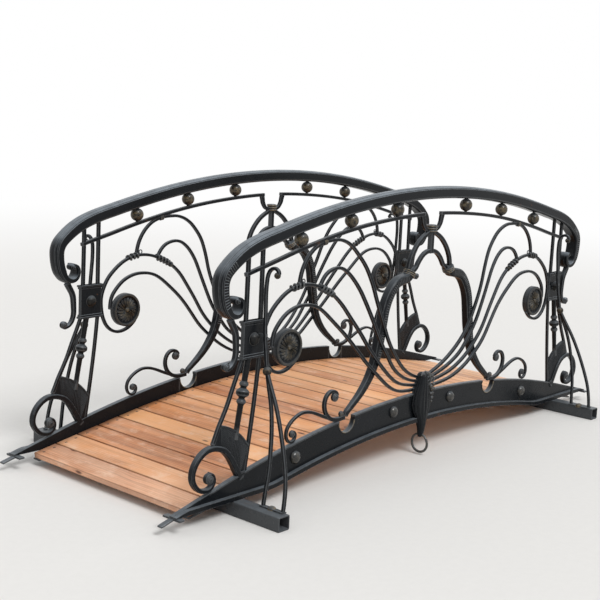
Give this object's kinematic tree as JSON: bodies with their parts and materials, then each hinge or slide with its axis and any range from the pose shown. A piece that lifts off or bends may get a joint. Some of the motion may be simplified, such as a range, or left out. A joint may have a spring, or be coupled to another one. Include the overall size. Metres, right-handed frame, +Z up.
{
  "type": "moon bridge",
  "caption": "Low arched garden footbridge with timber boards between two steel stringers and forged scroll railings with rosettes and ribbed stems.",
  "frame": {"origin": "on the ground under the middle of the deck, level with the undersides of the sleepers", "axes": "+X along the bridge, +Y across it towards the back railing, +Z up"},
  "size_m": [3.2436, 1.58, 1.255],
  "materials": {
    "iron": "satin black paint over forged steel",
    "timber": "reddish-brown oiled larch boards"
  },
  "bodies": {
    "root": {"deck_boards": "timber", "left_sleeper": "iron", "right_sleeper": "iron", "front_stringer": "iron", "back_stringer": "iron", "front_handrail": "iron", "back_handrail": "iron", "front_lower_rail": "iron", "back_lower_rail": "iron", "front_rail_balls": "iron", "back_rail_balls": "iron", "front_stems": "iron", "back_stems": "iron", "front_left_fan": "iron", "back_left_fan": "iron", "front_right_fan": "iron", "back_right_fan": "iron", "front_rosettes": "iron", "back_rosettes": "iron", "front_posts": "iron", "back_posts": "iron", "front_post_plates": "iron", "back_post_plates": "iron", "front_post_legs": "iron", "back_post_legs": "iron", "front_foot_scrolls": "iron", "back_foot_scrolls": "iron", "front_foot_leaves": "iron", "back_foot_leaves": "iron", "front_stringer_scrolls": "iron", "back_stringer_scrolls": "iron", "front_braces": "iron", "back_braces": "iron", "front_rivets": "iron", "back_rivets": "iron", "front_anchors": "iron", "back_anchors": "iron", "front_sheaf": "iron", "back_sheaf": "iron", "front_ring": "iron", "back_ring": "iron"}
  },
  "joints": []
}
